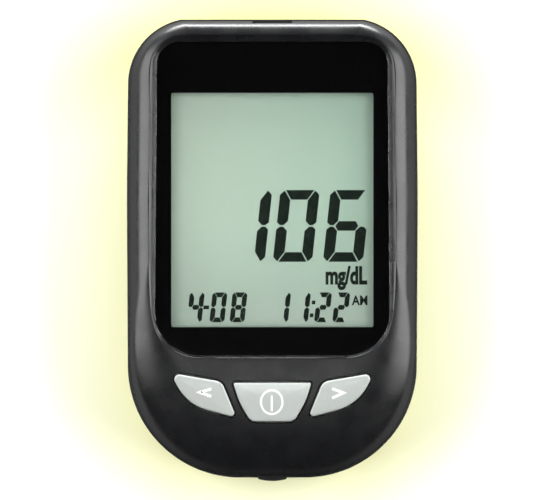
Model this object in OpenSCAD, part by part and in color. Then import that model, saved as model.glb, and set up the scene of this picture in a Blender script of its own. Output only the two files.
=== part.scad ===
// Talking blood glucose meter, lying on its back.
// A strip slot sits in the top end, a large segment display behind a bonded lens,
// three push keys below it, a speaker and a two-cell battery bay in the back,
// and a data port under a soft plug in the bottom end.
// +X is to the right of the display, +Y points to the strip slot, +Z out of the display.
// The origin is on the rest face, in the middle of the outline. Millimetres.

/* [Body] */
// Width across the middle of the body
body_w = 61; // [60:0.5:63]
// Length of the body, without the lip of the port plug
body_l = 96; // [96:0.5:99]
// Thickness from the rest face to the rim round the display
body_t = 26; // [26:0.25:27]
// How far the rear cover stands out round the front cover
rim_step = 0.4; // [0.2:0.1:0.5]
// Wall thickness of the front cover
front_wall = 1.8; // [1.6:0.1:2]
// Wall thickness of the rear cover
rear_wall = 2; // [1.8:0.1:2.2]
// Corner radius at the strip slot end
top_r = 13.8; // [12:0.2:13.8]
// Corner radius at the data port end
bottom_r = 23.5; // [18:0.5:24]

/* [Display] */
// Half width of the lens at its top edge
lens_x_top = 24.1; // [23.8:0.1:24.4]
// Half width of the lens at its bottom edge
lens_x_bottom = 24.6; // [24:0.05:24.8]
// Thickness of the lens
lens_t = 1.5; // [1.2:0.1:1.5]
// Half width of the clear part of the lens
view_x = 21.1; // [19:0.1:21.2]
// Height of the upper edge of the clear part
view_top = 32.5; // [30:0.1:32.6]
// Height of the lower edge of the clear part
view_bottom = -16.4; // [-16.5:0.1:-14]

/* [Keys] */
// Gap between a key and its opening
key_gap = 0.35; // [0.2:0.05:0.4]
// How far the keys stand out of the cover
key_proud = 0.6; // [0.3:0.1:0.8]
// Travel of a key
key_travel = 0.5; // [0.3:0.1:0.5]

/* [Strip slot] */
// Width of the slot for the test strip
strip_w = 7.6; // [6.4:0.1:7.6]
// Height of the slot for the test strip
strip_h = 1.1; // [0.8:0.1:1.2]

/* [Battery bay] */
// Diameter of one AAA cell
cell_d = 10.5; // [9.5:0.1:10.5]
// Overall length of one AAA cell
cell_l = 44.5; // [43.5:0.1:44.5]
// Width of the battery door
door_w = 27; // [25:0.5:27]
// Gap all round the battery door
door_gap = 0.2; // [0.15:0.05:0.3]

/* [Data port] */
// Width of the lip of the port plug
lip_w = 6; // [4:0.5:7]
// How far the lip of the port plug stands out of the end
lip_h = 0.8; // [0.4:0.1:1]

/* [Hidden] */
$fn = 48;

charcoal = [0.27, 0.27, 0.28];
black = [0.09, 0.09, 0.09];
silver = [0.80, 0.81, 0.80];
green_grey = [0.66, 0.75, 0.68];
board_green = [0.08, 0.32, 0.18];
brass = [0.80, 0.66, 0.36];
nickel = [0.72, 0.72, 0.70];

eps = 0.01;
seam_z = 15.8;
half_l = body_l / 2;
half_w = body_w / 2;
bulge = 0.35;                       // the sides bow out by this much
break_a = 13;                       // the flat of the top end meets the corners at this angle
break_x = 19.2;
edge_r = 6;                         // rolled edge of the front cover
edge_a = 75;                        // the roll stops here, at the rim of the display recess
chin_y = -3;                        // where the front starts to fall away
chin_n = 2.2;                       // fullness of that fall
lens_z = body_t - 1.5;              // outer face of the lens
lens_top = 43.2;
lens_bottom = -22.65;
recess_z = lens_z - lens_t - 0.2;   // ledge that the mask is stuck to
board_z = 14.4;
board_t = 1.2;
board_top = board_z + board_t;
cell_x = 5.65;
cell_z = 1.9 + cell_d / 2;
left_y0 = -35.2;                    // lower ends of the two cells
right_y0 = -38.5;
bay_x = 11.5;
bay_y0 = -39.3;
bay_y1 = 13.9;
bay_z1 = 12.8;
door_y0 = -40;                      // the door runs out over the rolled end below this
door_y1 = 12.4;
door_travel = 8;
hook_at = [-26, 5.6];
door_z = 0.15;                      // the door sits this far above the rest face
door_t = 1.5;
port_z = 13.05;
spk_y = 29.3;
spk_r = 11.5;
case_screw_at = [[20, 40, 22.6], [-20, 40, 22.6], [18.8, -36.3, 19.7], [-18.8, -36.3, 19.7]];
board_screw_at = [[25.5, 12], [-25.5, 12], [25.5, -15.5], [-25.5, -15.5]];
shift_y = lip_h / 2;                // puts the middle of the whole outline on the origin

// ---------- outlines ----------
function unit(v) = v / norm(v);
// One corner [x, y, r] of a convex outline as an arc of n steps between its neighbours a and b.
function corner(p, a, b, r, n) =
    let (u = unit(a - p), v = unit(b - p), half = acos(u * v) / 2,
         c = p + unit(u + v) * r / sin(half),
         s = p + u * r / tan(half) - c, e = p + v * r / tan(half) - c,
         a0 = atan2(s[1], s[0]), d = atan2(e[1], e[0]) - a0,
         turn = d > 180 ? d - 360 : d < -180 ? d + 360 : d)
    [for (i = [0:n]) c + r * [cos(a0 + turn * i / n), sin(a0 + turn * i / n)]];
function xy(p) = [p[0], p[1]];
function rounded(P, n = 7) = [for (i = [0:len(P) - 1])
    each corner(xy(P[i]), xy(P[(i + len(P) - 1) % len(P)]), xy(P[(i + 1) % len(P)]), P[i][2],
                len(P[i]) > 3 ? P[i][3] : n)];
// The same corners moved outwards by d.
function grow(P, d) = [for (i = [0:len(P) - 1])
    let (p = xy(P[i]), u = unit(xy(P[(i + len(P) - 1) % len(P)]) - p), v = unit(xy(P[(i + 1) % len(P)]) - p),
         half = acos(u * v) / 2, q = p - unit(u + v) * d / sin(half))
    [q[0], q[1], max(0.05, P[i][2] + d), len(P[i]) > 3 ? P[i][3] : 7]];
function flip(P) = [for (i = [len(P) - 1:-1:0]) [-P[i][0], P[i][1], P[i][2]]];
function box_corners(x, y0, y1, r) = [[x, y0, r], [x, y1, r], [-x, y1, r], [-x, y0, r]];

// Outline of the body, half width w, from yb to yt, anticlockwise from the lower right.
function body_corners(w, yt, yb, rt, rb, bx) =
    let (ys = yt - (w - bulge - bx) * tan(break_a))
    [[w - bulge, yb, rb, 12], [w, 10, 60, 2], [w - bulge, ys, rt, 10], [bx, yt, 0.8, 2],
     [-bx, yt, 0.8, 2], [-w + bulge, ys, rt, 10], [-w, 10, 60, 2], [-w + bulge, yb, rb, 12]];
function lens_corners() = [[lens_x_bottom, lens_bottom, 9.4, 9], [lens_x_top, lens_top, 4.9],
                           [-lens_x_top, lens_top, 4.9], [-lens_x_bottom, lens_bottom, 9.4, 9]];
left_key_corners = [[-17.74, -32.6, 10.2, 10], [-7.45, -35.35, 0.7, 4], [-10.55, -27.8, 2.3, 6], [-21.3, -25.95, 1, 5]];
right_key_corners = flip([for (p = left_key_corners) p]);
power_key_corners = [[4.55, -36.1, 2, 5], [6.95, -31.9, 15, 3], [8.2, -27.95, 0.35, 3],
                     [-8.2, -27.95, 0.35, 3], [-6.95, -31.9, 15, 3], [-4.55, -36.1, 2, 5]];

// ---------- lofts ----------
function lift(ring, z) = [for (p = ring) [p[0], p[1], z]];
// Closed skin over rings with the same number of points, lowest first.
module loft(rings) {
    n = len(rings[0]);
    m = len(rings);
    polyhedron(points = [for (r = rings) each r], faces = concat(
        [[for (j = [0:n - 1]) j]],
        [[for (j = [n - 1:-1:0]) (m - 1) * n + j]],
        [for (i = [0:m - 2], j = [0:n - 1]) let (k = (j + 1) % n) [i * n + j, (i + 1) * n + j, (i + 1) * n + k]],
        [for (i = [0:m - 2], j = [0:n - 1]) let (k = (j + 1) % n) [i * n + j, (i + 1) * n + k, i * n + k]]));
}
module tube_along(path, r, sides, ref) {
    last = len(path) - 1;
    loft([for (i = [0:last])
        let (t = unit(path[min(i + 1, last)] - path[max(i - 1, 0)]),
             a = unit(cross(t, ref)), b = cross(t, a))
        [for (j = [0:sides - 1]) path[i] + r * (cos(-360 * j / sides) * a + sin(-360 * j / sides) * b)]]);
}
module plate(P, z0, z1, n = 7) { translate([0, 0, z0]) linear_extrude(z1 - z0) polygon(rounded(P, n)); }
module bar(x0, x1, y0, y1, z0, z1) { translate([x0, y0, z0]) cube([x1 - x0, y1 - y0, z1 - z0]); }
module side(s, x0, x1, y0, y1, z0, z1) { bar(s > 0 ? x0 : -x1, s > 0 ? x1 : -x0, y0, y1, z0, z1); }
module rod(x, y, z0, z1, r) { translate([x, y, z0]) cylinder(r = r, h = z1 - z0); }

// Front skin, inset by s from the outside.
function front_ring(z, e, s) =
    let (top = body_t - s, u = min(1, max(0, (z - seam_z) / (top - seam_z))),
         yb = chin_y - (half_l - rim_step - s + chin_y) * pow(1 - pow(u, chin_n), 1 / chin_n))
    lift(rounded(body_corners(half_w - rim_step - s - e, half_l - rim_step - s - 2.98 * pow(e / 4.45, 2.5) * (2.5 - 0.337 * e), yb,
                              top_r - 0.4 - s - e, 8 + (bottom_r - 8.4 - s) * (1 - pow(u, 8)), break_x - 0.5 * (e + s))), z);
module front_skin(s, z_low) {
    r = edge_r - s / 2;
    zc = body_t - s - r * sin(edge_a);
    loft(concat([front_ring(z_low, 0, s), front_ring((seam_z + zc) / 2, 0, s)],
                [for (t = [0, 10, 20, 29, 38, 46, 54, 61, 67, 72, edge_a])
                    front_ring(zc + r * sin(t), r * (1 - cos(t)), s)]));
}
// Rear skin, inset by s.
function rear_ring(z, e, s) = lift(rounded(body_corners(half_w - s - e, half_l - s - e, -half_l + s + e,
                              top_r - s - e, bottom_r - s - e, break_x - 0.5 * (e + s))), z);
module rear_skin(s, z_high) {
    depth = 6;
    h = 11.5 - s;
    loft(concat([for (t = [90, 78, 66, 54, 42, 30, 18, 8, 0])
                    rear_ring(s + h * (1 - pow(sin(t), 0.9)), depth * (1 - pow(cos(t), 0.9)), s)],
                [rear_ring(z_high, 0, s)]));
}

// ---------- covers ----------
module front_cover() color(charcoal) {
    difference() {
        union() {
            difference() {
                front_skin(0, seam_z);
                front_skin(front_wall, seam_z - 1);
            }
            // frame that carries the lens
            plate(grow(lens_corners(), 0.9), 21.9, lens_z - 0.6);
            // tongue that locates the rear cover
            difference() {
                plate(grow(body_corners(half_w, half_l, -half_l, top_r, bottom_r, break_x), -1.35), seam_z - 1.4, seam_z + 0.6);
                plate(grow(body_corners(half_w, half_l, -half_l, top_r, bottom_r, break_x), -2.15), seam_z - 1.5, seam_z + 0.7);
            }
            for (p = case_screw_at) rod(p[0], p[1], seam_z, p[2], 2.9);
            for (p = board_screw_at) rod(p[0], p[1], board_top, 22.6, 1.9);
        }
        // recess with a sloping rim, then the pocket for the lens
        loft([lift(rounded(grow(lens_corners(), 0.25)), lens_z - 0.02), lift(rounded(grow(lens_corners(), 1.5)), body_t + 0.05)]);
        plate(grow(lens_corners(), 0.1), recess_z, body_t);
        plate(box_corners(view_x + 0.9, view_bottom - 0.9, view_top + 0.9, 0.6), 21, body_t);
        // openings for the keys
        for (P = [left_key_corners, right_key_corners, power_key_corners]) plate(grow(P, key_gap), 18, 27);
        // notch for the strip guide
        bar(-4.15, 4.15, half_l - 0.95, half_l + 1, seam_z - 2, 27);
        bar(-4.15, 4.15, half_l - 3.6, half_l, seam_z - 2, 22.7);
        // pilot holes
        for (p = case_screw_at) rod(p[0], p[1], seam_z - 1, p[2] - 0.8, 1);
        for (p = board_screw_at) rod(p[0], p[1], board_top - 1, 20.6, 0.8);
    }
}

module rear_cover() color(black) {
    difference() {
        union() {
            difference() {
                rear_skin(0, seam_z);
                rear_skin(rear_wall, seam_z + 1);
            }
            // battery bay
            bar(-bay_x - 3.2, bay_x + 3.2, bay_y0 - 1.5, bay_y1 + 1.2, 0.5, bay_z1 + 1.1);
            // speaker seat and screw posts
            rod(0, spk_y, 1, 6.2, spk_r + 1.3);
            intersection() {
                union() {
                    for (p = case_screw_at) rod(p[0], p[1], 0, seam_z - 0.05, 3.6);
                    bar(-bay_x - 3.2, bay_x + 3.2, -half_l, bay_y0, 0.5, 3.6);
                }
                rear_skin(0.3, seam_z + 0.1);
            }
        }
        // rebate for the tongue of the front cover
        plate(grow(body_corners(half_w, half_l, -half_l, top_r, bottom_r, break_x), -1.25), seam_z - 1.5, seam_z + 1);
        // door recess, open at the rolled end, and the bay with a pocket for the door tabs
        plate(box_corners(door_w / 2, -half_l - 5, door_y1, 2.2), -1, door_z + door_t + 0.05);
        bar(-bay_x, bay_x, bay_y0, 10.4, -1, bay_z1);
        bar(-bay_x, bay_x, 10.3, bay_y1, door_z + door_t, bay_z1 - 0.8);
        // slots for the door hooks: entry, neck and the room above the shelf
        for (s = [-1, 1], y = hook_at) {
            side(s, bay_x - 0.1, 13.5, y - 2.7 - door_travel, y + 2.7 - door_travel, 1, 3.7);
            side(s, bay_x - 0.1, 12.75, y - 2.7 - door_travel, y + 2.7, 1, 3.7);
            side(s, bay_x - 0.1, 13.5, y - 2.7 - door_travel, y + 2.7, 2.7, 3.7);
        }
        // speaker seat and grille
        rod(0, spk_y, rear_wall, 7, spk_r + 0.15);
        for (i = [-3:3]) translate([0, spk_y + i * 2.6, -1]) linear_extrude(rear_wall + 2)
            hull() for (s = [-1, 1]) translate([s * (sqrt(9.6 * 9.6 - i * i * 6.76) - 0.6), 0]) circle(r = 0.6);
        // screw holes
        for (p = case_screw_at) {
            rod(p[0], p[1], -1, 7.5, 2.4);
            rod(p[0], p[1], 7, seam_z + 1, 1.25);
        }
        // data port
        bar(-4.9, 4.9, -half_l - 1, -half_l + 1.2, 10.5, 15.35);
        bar(-4.1, 4.1, -half_l - 1, -half_l + 4, 11.3, 14.8);
        // slots that the cell contacts stand in
        for (s = [-1, 1]) bar(s * cell_x - 4.4, s * cell_x + 4.4, bay_y0 - 0.3, bay_y0 + 0.5, 3, bay_z1);
    }
    // rib behind the upper contacts
    color(black) difference() {
        bar(-bay_x - 0.3, bay_x + 0.3, 10.35, 11.4, 5.6, bay_z1 + 0.3);
        bar(-1.2, 1.2, 10, 12, 5, 8);
    }
}

// ---------- display ----------
module display_lens() color([0.75, 0.8, 0.8]) plate(lens_corners(), lens_z - lens_t, lens_z);
module lens_mask() color(black) difference() {
    plate(grow(lens_corners(), -0.1), recess_z, lens_z - lens_t);
    plate(box_corners(view_x, view_bottom, view_top, 0.4), recess_z - 1, lens_z);
}
module lcd_gasket() color([0.12, 0.12, 0.12]) difference() {
    plate(box_corners(view_x + 1.4, view_bottom - 1.4, view_top + 1.4, 0.5), 21.5, 21.9);
    plate(box_corners(view_x + 0.6, view_bottom - 0.6, view_top + 0.6, 0.5), 21, 22);
}
module lcd_front_glass() color(green_grey) bar(-22.6, 22.6, -20.4, 34.4, 20.4, 21.5);
module lcd_rear_glass() color(green_grey) bar(-22.6, 22.6, -17.4, 34.4, 19.3, 20.4);
module lcd_backlight() color([0.9, 0.92, 0.88]) bar(-22.3, 22.3, -17.2, 33.6, 16.5, 19.3);
module zebra_strip() color([0.85, 0.55, 0.6]) bar(-20, 20, -20.2, -18, board_top, 20.4);
module lcd_holder() color([0.85, 0.85, 0.82]) difference() {
    bar(-23.3, 23.3, -21.2, 35.2, board_top, 21.2);
    bar(-22.7, 22.7, -20.5, 34.5, 19.3, 22);
    bar(-22.4, 22.4, -17.3, 33.7, 16.4, 20);
    bar(-20.2, 20.2, -20.3, -17.9, 15, 20);
    bar(-18, 18, -13, 30, 15, 17);
}

// ---------- keys and their switches ----------
// Height of the chin at distance y along the middle.
function chin_z(y) = seam_z + (body_t - seam_z) * pow(1 - pow((chin_y - y) / (half_l - rim_step + chin_y), chin_n), 1 / chin_n);
key_slope = (chin_z(-28) - chin_z(-36)) / 8;
function key_top(y, drop) = chin_z(-28) + key_proud - drop + key_slope * (y + 28);
function on_slope(ring, drop) = [for (p = ring) [p[0], p[1], key_top(p[1], drop)]];
module key(P, drop, stem_x, stem_y) {
    loft([on_slope(rounded(P), 4.4 + drop), on_slope(rounded(P), 0.3 + drop), on_slope(rounded(grow(P, -0.08)), 0.12 + drop),
          on_slope(rounded(grow(P, -0.3)), drop)]);
    loft([on_slope(rounded(grow(P, 0.75)), 4.3 + drop), on_slope(rounded(grow(P, 0.75)), 3.5 + drop)]);
    rod(stem_x, stem_y, 18.2, key_top(stem_y, 3.9 + drop), 2);
}
module left_key() color(silver) key(left_key_corners, 0.12, -13.4, -30.4);
module right_key() color(silver) key(right_key_corners, 0.12, 13.4, -30.4);
module power_key() color(silver) key(power_key_corners, 0, 0, -31.6);
switch_at = [[-13.4, -30.4], [0, -31.6], [13.4, -30.4]];
module stem_at(i) color([0.2, 0.2, 0.2]) rod(switch_at[i][0], switch_at[i][1], 17.2, 18.2, 1.2);
module left_switch_stem() stem_at(0);
module power_switch_stem() stem_at(1);
module right_switch_stem() stem_at(2);
module key_switches() color(nickel) for (p = switch_at) difference() {
    bar(p[0] - 2.6, p[0] + 2.6, p[1] - 2.6, p[1] + 2.6, board_top, 17.6);
    rod(p[0], p[1], 16.5, 18, 1.3);
}

// ---------- circuit board ----------
module main_board() color(board_green) difference() {
    plate(grow(body_corners(half_w, half_l, -half_l, top_r, bottom_r, break_x), -2.7), board_z, board_top);
    for (p = case_screw_at) rod(p[0], p[1], board_z - 1, board_top + 1, 4);
    for (p = board_screw_at) rod(p[0], p[1], board_z - 1, board_top + 1, 1);
}
module processor_chip() color(black) bar(6, 15, 16, 25, board_z - 1.4, board_z);
module voice_chip() color(black) bar(-15, -8, 16.5, 26, board_z - 1.3, board_z);
module quartz_crystal() color(nickel) {
    bar(17.5, 20.5, 14, 22, board_z - 2, board_z);
}
module board_components() color([0.55, 0.42, 0.3]) {
    for (i = [0:5]) bar(-21.5, -19.9, 13 + i * 2.4, 14 + i * 2.4, board_z - 0.8, board_z);
    for (i = [0:4]) bar(17 + i % 2 * 3, 18 + i % 2 * 3, -30 + i * 4, -28.4 + i * 4, board_z - 0.8, board_z);
    for (i = [0:3]) rod(-19 + 0.1 * i, -8 - i * 6, board_z - 1.6, board_z, 1.4);
}

// ---------- strip slot ----------
strip_z = 17.7;
module strip_guide() color(black) difference() {
    bar(-4.05, 4.05, 45.7, half_l - rim_step - 0.35, seam_z, 22.55);
    bar(-strip_w / 2, strip_w / 2, 45, half_l, strip_z - strip_h / 2, strip_z + strip_h / 2);
    // funnel
    rotate([90, 0, 90]) linear_extrude(strip_w, center = true)
        polygon([[46.6, strip_z - strip_h / 2], [47.4, strip_z - 1.2], [47.4, strip_z + 1.2], [46.6, strip_z + strip_h / 2]]);
}
module strip_connector() color([0.93, 0.92, 0.88]) difference() {
    bar(-6, 6, 36.3, 45.6, board_top, 19.6);
    bar(-strip_w / 2, strip_w / 2, 37.2, 47, strip_z - strip_h / 2, strip_z + strip_h / 2);
    for (i = [0:4]) bar(-3.45 + i * 1.6, -2.95 + i * 1.6, 36, 44.4, strip_z, 19);
}
module strip_contacts() color(brass) for (i = [0:4]) {
    x = -3.4 + i * 1.6;
    translate([x, 0, 0]) {
        bar(0, 0.4, 37, 44, 18.6, 18.8);
        bar(0, 0.4, 42.6, 43.4, 18.3, 18.7);
        bar(0, 0.4, 35.6, 37.1, 18.6, 18.8);
        bar(0, 0.4, 35.6, 35.8, board_top, 18.7);
    }
}

// ---------- data port ----------
module data_port() color(nickel) difference() {
    bar(-3.75, 3.75, -46.6, -41, board_z - 2.7, board_z);
    bar(-3.45, 3.45, -47, -41.6, board_z - 2.4, board_z - 0.3);
}
module data_port_tongue() color(black) bar(-1.9, 1.9, -45, -41.6, board_z - 2, board_z - 1.3);
module port_plug() color([0.06, 0.06, 0.06]) {
    difference() {
        union() {
            plate_y(4.8, 10.6, 15.25, 0.6, -half_l, -half_l + 1.1);
            plate_y(lip_w / 2, 11, 12.9, 0.5, -half_l - lip_h, -half_l + 0.5);
        }
        bar(-2, 2, -half_l - lip_h - 1, -half_l - lip_h + 0.3, 13.1, 14);
    }
    bar(-3.3, 3.3, -half_l + 1, -45.3, board_z - 2.25, board_z - 0.45);
}
// Rounded plate that stands across the Y axis.
module plate_y(x, z0, z1, r, y0, y1) {
    translate([0, y1, 0]) rotate([90, 0, 0]) linear_extrude(y1 - y0)
        polygon(rounded([[x, z0, r], [x, z1, r], [-x, z1, r], [-x, z0, r]], 4));
}

// ---------- speaker ----------
module speaker_mesh() color([0.15, 0.15, 0.15]) rod(0, spk_y, rear_wall, rear_wall + 0.15, spk_r - 0.3);
module speaker_gasket() color([0.2, 0.2, 0.2]) difference() {
    rod(0, spk_y, rear_wall + 0.15, rear_wall + 0.65, spk_r - 0.1);
    rod(0, spk_y, rear_wall, rear_wall + 1, spk_r - 1.4);
}
module speaker_frame() color(nickel) translate([0, spk_y, rear_wall + 0.65]) rotate_extrude() polygon([
    [spk_r - 1.5, 0], [spk_r, 0], [spk_r, 1.8], [7, 3], [5.2, 3], [5.2, 2.4], [7, 2.4], [spk_r - 0.7, 1.3], [spk_r - 1.5, 1.3]]);
module speaker_cone() color([0.25, 0.22, 0.2]) translate([0, spk_y, rear_wall + 0.65]) rotate_extrude() polygon([
    [0, 0.9], [3.5, 1.1], [5, 1.6], [8, 0.5], [spk_r - 1.52, 0.3], [spk_r - 1.52, 0.5], [8, 0.8], [5, 1.9], [3.4, 1.4], [0, 1.2]]);
module speaker_magnet() color([0.35, 0.35, 0.36]) translate([0, spk_y, rear_wall + 0.65]) rotate_extrude() polygon([
    [0, 1.9], [3.2, 1.9], [3.2, 2.3], [4.5, 2.3], [4.5, 2.0], [5.2, 2.0], [5.2, 4.1], [4.9, 4.4], [0, 4.4]]);
module speaker_leads() color([0.6, 0.1, 0.1]) for (s = [-1, 1])
    tube_along([[s * 2, 21, 5.5], [s * 2, 19.8, 6.1], [s * 2.2, 18.6, 7], [s * 2.6, 17.9, 8.6], [s * 3, 17.8, 10.2], [s * 3.2, 18.2, 11.8],
                [s * 3.3, 18.8, 13], [s * 3.3, 19, board_z]], 0.4, 8, [1, 0, 0]);

// ---------- battery bay ----------
module battery_door() color(black) difference() {
    union() {
        intersection() {
            rear_skin(door_z, 4);
            plate(box_corners(door_w / 2 - door_gap, -half_l - 5, door_y1 - door_gap, 2), 0, door_z + door_t);
        }
        // tabs under the edge of the rear cover at the closed end
        for (s = [-1, 1]) {
            side(s, 9.1, 11.1, door_y1 - 2.2, door_y1 + 1.1, door_z + door_t + 0.15, door_z + door_t + 1.05);
            side(s, 9.1, 11.1, door_y1 - 2.2, door_y1 - 0.9, door_z + 1, door_z + door_t + 1);
        }
        // hooks that run on the shelves beside the cells
        for (s = [-1, 1], y = hook_at) {
            side(s, 11.7, 12.6, y - 2.5, y + 2.5, door_z + 1, 3.5);
            side(s, 11.7, 13.35, y - 2.5, y + 2.5, 2.8, 3.5);
        }
    }
    // grip grooves
    for (i = [0:5]) translate([-6, door_y0 + 1 + i * 1.5, door_z - 0.1]) rotate([0, 90, 0]) cylinder(r = 0.4, h = 12);
}
module cell(x, y0, up) {
    body = cell_l - 1.1;
    translate([x, up ? y0 : y0 + cell_l, cell_z]) rotate([up ? -90 : 90, 0, 0]) rotate_extrude() polygon([
        [0, 0], [4.2, 0], [4.6, 0.35], [cell_d / 2 - 0.25, 0.35], [cell_d / 2, 0.7], [cell_d / 2, body - 0.7],
        [cell_d / 2 - 0.6, body - 0.1], [2.4, body], [1.9, body], [1.9, cell_l - 0.2], [1.7, cell_l], [0, cell_l]]);
}
module battery_left() color([0.75, 0.5, 0.25]) cell(-cell_x, left_y0, true);
module battery_right() color([0.75, 0.5, 0.25]) cell(cell_x, right_y0, false);
// One conical coil of length l that presses on the flat end of a cell.
module coil(x, y, l) {
    turns = 3.5;
    steps = 56;
    tube_along([for (i = [0:steps]) let (t = i / steps, r = 3.6 - 1.5 * t, a = 360 * turns * t)
        [x + r * cos(a), y + 0.33 + (l - 0.66) * t, cell_z + r * sin(a)]], 0.32, 6, [0, 1, 0]);
}
lower_face = bay_y0 + 0.2;
upper_face = 10;
module battery_springs() color(nickel) {
    coil(-cell_x, lower_face, left_y0 - lower_face);
    mirror([0, 1, 0]) coil(cell_x, -upper_face, upper_face - right_y0 - cell_l);
}
module bridge_contact() color(nickel) {
    bar(-10.2, 10.2, upper_face, upper_face + 0.34, 3.2, 11);
    translate([-cell_x, upper_face + 0.05, cell_z]) rotate([90, 0, 0]) cylinder(r1 = 2.2, r2 = 1.6, h = upper_face + 0.03 - left_y0 - cell_l);
}
module cell_contacts() color(nickel) {
    for (s = [-1, 1]) bar(s * cell_x - 4.2, s * cell_x + 4.2, lower_face - 0.4, lower_face, 3.2, bay_z1 - 0.2);
    translate([cell_x, lower_face - 0.05, cell_z]) rotate([-90, 0, 0]) cylinder(r1 = 2.2, r2 = 1.6, h = right_y0 - lower_face + 0.03);
}

// ---------- fasteners ----------
module screw(x, y, z_head, head_r, head_h, r, len) {
    difference() {
        union() {
            rod(x, y, z_head - head_h, z_head, head_r);
            rod(x, y, z_head - 0.1, z_head + len, r);
            translate([x, y, z_head + len - eps]) cylinder(r1 = r, r2 = 0.2, h = r);
        }
        for (a = [0, 90]) translate([x, y, z_head - head_h]) rotate([0, 0, a])
            cube([head_r * 1.2, head_r * 0.32, 1.2], center = true);
    }
}
module case_screws() color(nickel) for (p = case_screw_at) screw(p[0], p[1], 7.5, 2, 1.5, 0.98, min(11.2, p[2] - 9.5));
module board_screws() color(nickel) for (p = board_screw_at) screw(p[0], p[1], board_z, 1.6, 0.9, 0.78, 5);

module at_origin() { translate([0, shift_y, 0]) children(); }
at_origin() front_cover();
at_origin() rear_cover();
at_origin() display_lens();
at_origin() lens_mask();
at_origin() lcd_gasket();
at_origin() lcd_front_glass();
at_origin() lcd_rear_glass();
at_origin() lcd_holder();
at_origin() lcd_backlight();
at_origin() zebra_strip();
at_origin() left_key();
at_origin() power_key();
at_origin() right_key();
at_origin() left_switch_stem();
at_origin() power_switch_stem();
at_origin() right_switch_stem();
at_origin() key_switches();
at_origin() main_board();
at_origin() processor_chip();
at_origin() voice_chip();
at_origin() quartz_crystal();
at_origin() board_components();
at_origin() strip_guide();
at_origin() strip_connector();
at_origin() strip_contacts();
at_origin() data_port();
at_origin() data_port_tongue();
at_origin() port_plug();
at_origin() speaker_frame();
at_origin() speaker_cone();
at_origin() speaker_magnet();
at_origin() speaker_gasket();
at_origin() speaker_mesh();
at_origin() speaker_leads();
at_origin() battery_door();
at_origin() battery_left();
at_origin() battery_right();
at_origin() battery_springs();
at_origin() bridge_contact();
at_origin() cell_contacts();
at_origin() case_screws();
at_origin() board_screws();
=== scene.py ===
"""Looks of a hand-held talking blood glucose meter with a large segment display, lying on its back.

Shapes are drawn in millimetres round the middle of the body, then moved by SHIFT along Y and scaled to metres.
"""
import math

import bmesh
import bpy
import numpy as np
from mathutils import Matrix, Vector
from mathutils.bvhtree import BVHTree


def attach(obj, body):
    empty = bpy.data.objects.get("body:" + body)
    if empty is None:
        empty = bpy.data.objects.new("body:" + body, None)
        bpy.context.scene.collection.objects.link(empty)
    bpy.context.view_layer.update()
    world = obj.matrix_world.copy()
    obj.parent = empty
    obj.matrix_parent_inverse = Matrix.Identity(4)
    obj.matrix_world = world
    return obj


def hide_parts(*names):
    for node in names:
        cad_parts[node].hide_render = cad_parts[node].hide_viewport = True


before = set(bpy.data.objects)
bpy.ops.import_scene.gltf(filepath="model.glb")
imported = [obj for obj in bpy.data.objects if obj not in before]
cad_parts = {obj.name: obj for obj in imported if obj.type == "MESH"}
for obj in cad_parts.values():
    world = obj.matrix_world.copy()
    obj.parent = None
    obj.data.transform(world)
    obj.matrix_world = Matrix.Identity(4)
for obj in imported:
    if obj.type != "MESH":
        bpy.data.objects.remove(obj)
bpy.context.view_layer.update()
scene = bpy.context.scene
scene.view_settings.view_transform = "Standard"

SHIFT = 0.4

# ---------------------------------------------------------------- sizes, in mm
HALF_W, HALF_L, TOP = 30.5, 48.0, 26.0
SEAM = 15.8
STEP = 0.4
TOP_R, BOTTOM_R, BULGE = 13.8, 23.5, 0.35
BREAK_A, BREAK_X = math.radians(13), 19.2
EDGE_R, EDGE_A = 6.0, math.radians(75)
CHIN_Y, CHIN_N = -3.0, 2.2
LENS_Z, LENS_T = 24.5, 1.5
LENS = [(24.6, -22.65, 9.4), (24.1, 43.2, 4.9), (-24.1, 43.2, 4.9), (-24.6, -22.65, 9.4)]
VIEW_X, VIEW_TOP, VIEW_BOTTOM = 21.1, 32.5, -16.4
KEY_GAP, KEY_PROUD = 0.35, 0.6
LEFT_KEY = [(-17.74, -32.6, 10.2, 20), (-7.45, -35.35, 0.7, 6), (-10.55, -27.8, 2.3, 10), (-21.3, -25.95, 1.0, 8)]
RIGHT_KEY = [(-x, y, r, n) for x, y, r, n in reversed(LEFT_KEY)]
POWER_KEY = [(4.55, -36.1, 2.0, 8), (6.95, -31.9, 15, 6), (8.2, -27.95, 0.35, 6),
             (-8.2, -27.95, 0.35, 6), (-6.95, -31.9, 15, 6), (-4.55, -36.1, 2.0, 8)]
CASE_SCREWS = [(20, 40, 22.6), (-20, 40, 22.6), (18.8, -36.3, 19.7), (-18.8, -36.3, 19.7)]
BOARD_SCREWS = [(25.5, 12), (-25.5, 12), (25.5, -15.5), (-25.5, -15.5)]
BOARD_TOP = 15.6
CELL_X = 5.65
BAY_X, BAY_Y0, BAY_Y1, BAY_Z1 = 11.5, -39.3, 13.9, 12.8
DOOR_W, DOOR_GAP, DOOR_Y0, DOOR_Y1, DOOR_Z, DOOR_T = 27.0, 0.2, -40.0, 12.4, 0.15, 1.5
DOOR_TRAVEL, HOOK_AT = 8.0, (-26.0, 5.6)
SPEAKER_Y, SPEAKER_R = 29.3, 11.5
LIP_W, LIP_H = 6.0, 0.8


# ---------------------------------------------------------------- outlines
def unit(v):
    v = np.asarray(v, float)
    return v / np.linalg.norm(v)


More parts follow.
